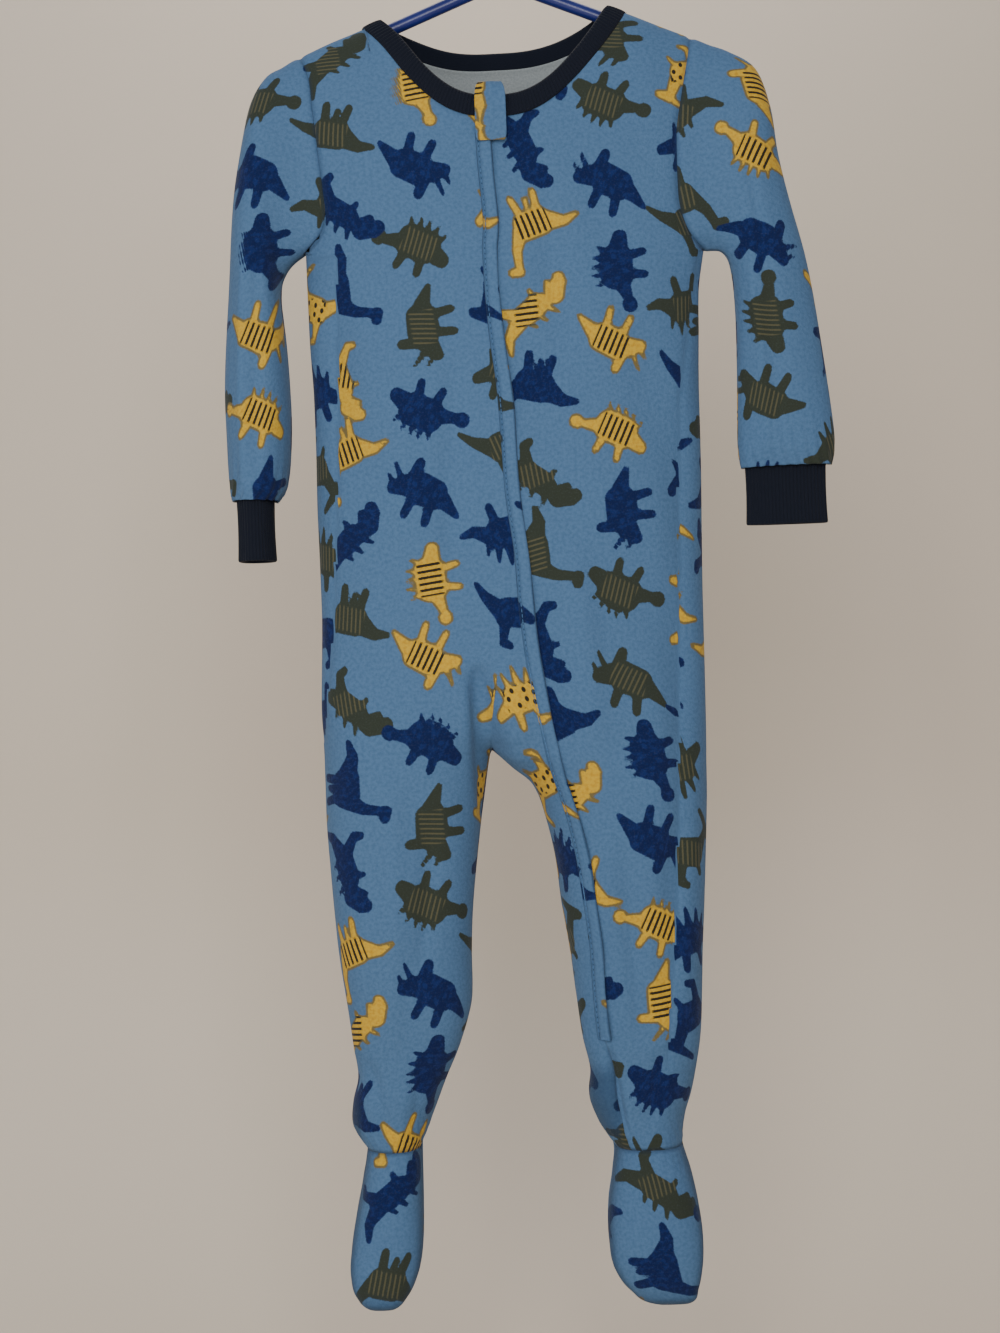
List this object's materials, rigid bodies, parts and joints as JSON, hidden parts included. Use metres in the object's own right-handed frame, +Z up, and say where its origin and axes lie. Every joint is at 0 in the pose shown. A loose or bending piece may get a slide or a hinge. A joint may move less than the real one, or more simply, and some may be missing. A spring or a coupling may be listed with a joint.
{
  "type": "footed onesie pajama on a hanger",
  "caption": "Child's footed fleece onesie with long sleeves, ribbed neck and cuffs and a long zip, hanging on a tubular hanger.",
  "frame": {"origin": "inner top of the hanger's hook, where a rail carries it", "axes": "+Z up, the front of the garment faces -Y, +X towards the wearer's left"},
  "size_m": [0.3885, 0.0886, 0.9157],
  "materials": {
    "fleece": "brushed light-blue fleece with an all-over printed motif",
    "rib_knit": "navy rib knit",
    "zip_tape": "woven zip tape",
    "zip_chain": "moulded zip teeth",
    "hanger_plastic": "glossy royal-blue plastic"
  },
  "bodies": {
    "root": {"front_right": "fleece", "front_left": "fleece", "back": "fleece", "sleeve_right": "fleece", "sleeve_left": "fleece", "cuff_right": "rib_knit", "cuff_left": "rib_knit", "neck_binding": "rib_knit", "chin_guard": "fleece", "zip_flap": "fleece", "zip_tape": "zip_tape", "zip_chain": "zip_chain", "foot_upper_right": "fleece", "foot_upper_left": "fleece", "sole_right": "fleece", "sole_left": "fleece", "hanger": "hanger_plastic"}
  },
  "joints": []
}
